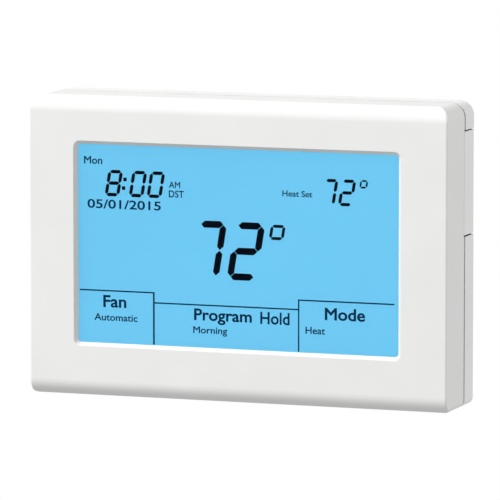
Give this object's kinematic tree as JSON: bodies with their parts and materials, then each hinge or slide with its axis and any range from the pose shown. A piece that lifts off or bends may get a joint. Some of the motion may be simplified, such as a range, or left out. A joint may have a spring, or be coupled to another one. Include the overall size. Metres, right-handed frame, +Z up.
{
  "type": "wall thermostat",
  "caption": "Rectangular wall thermostat with a large blue-lit touch display, a pull-off display unit, a side-sliding battery tray and a wall plate with screw terminals.",
  "frame": {"origin": "middle of the wall plate's rear face, on the wall", "axes": "+X to the right of somebody facing the display, +Y into the wall, +Z up; the display faces -Y"},
  "size_m": [0.152, 0.03, 0.1046],
  "materials": {
    "cover_plastic": "fine moulded texture",
    "housing_plastic": "fine moulded texture",
    "plate_plastic": "fine moulded texture",
    "frame_plastic": "moulded",
    "terminal_plastic": "moulded",
    "gasket_foam": "closed-cell foam",
    "touch_glass": "clear",
    "film": "film",
    "lcd_glass": "blue backlit",
    "diffuser_white": "film",
    "guide_clear": "clear acrylic",
    "strip_rubber": "layered elastomer",
    "tail_film": "amber film",
    "board": "solder mask",
    "chip_black": "moulded epoxy",
    "relay_case": "moulded",
    "capacitor_can": "can with printed sleeve",
    "crystal_can": "nickel plated",
    "screw_steel": "zinc plated",
    "contact_metal": "tin plated",
    "spring_wire": "nickel plated",
    "lamp": "white package",
    "cell_jacket": "printed jacket",
    "door_plastic": "fine moulded texture"
  },
  "bodies": {
    "wall_base": {"wall_plate": "plate_plastic", "left_terminal_block": "terminal_plastic", "right_terminal_block": "terminal_plastic", "terminal_contacts": "contact_metal", "terminal_washers": "screw_steel", "terminal_screws": "screw_steel"},
    "display_unit": {"front_cover": "cover_plastic", "rear_housing": "housing_plastic", "case_screws": "screw_steel", "window_gasket": "gasket_foam", "touch_panel": "touch_glass", "front_polariser": "film", "lcd_front_glass": "lcd_glass", "lcd_rear_glass": "lcd_glass", "rear_polariser": "film", "diffuser_film": "diffuser_white", "light_guide": "guide_clear", "reflector_film": "diffuser_white", "backlight_boards": "board", "backlight_leds": "lamp", "contact_strip": "strip_rubber", "display_frame": "frame_plastic", "display_screws": "screw_steel", "touch_tail": "tail_film", "main_board": "board", "board_screws": "screw_steel", "touch_connector": "chip_black", "microcontroller": "chip_black", "crystal": "crystal_can", "sounder": "chip_black", "relays": "relay_case", "capacitors": "capacitor_can", "temperature_sensor": "chip_black", "plug_pins": "contact_metal", "pin_headers": "chip_black", "leaf_contact": "contact_metal", "coil_contact_base": "contact_metal", "bay_spring": "spring_wire"},
    "battery_drawer": {"battery_tray": "door_plastic", "upper_cell": "cell_jacket", "lower_cell": "cell_jacket", "tray_link": "contact_metal", "tray_spring": "spring_wire"}
  },
  "joints": [
    {"name": "unit_pull_off", "type": "slide", "parent": "wall_base", "child": "display_unit", "axis": [0, -1, 0], "range_m": [0, 0.04]},
    {"name": "battery_tray_slide", "type": "slide", "parent": "display_unit", "child": "battery_drawer", "axis": [1, 0, 0], "range_m": [0, 0.05]}
  ]
}
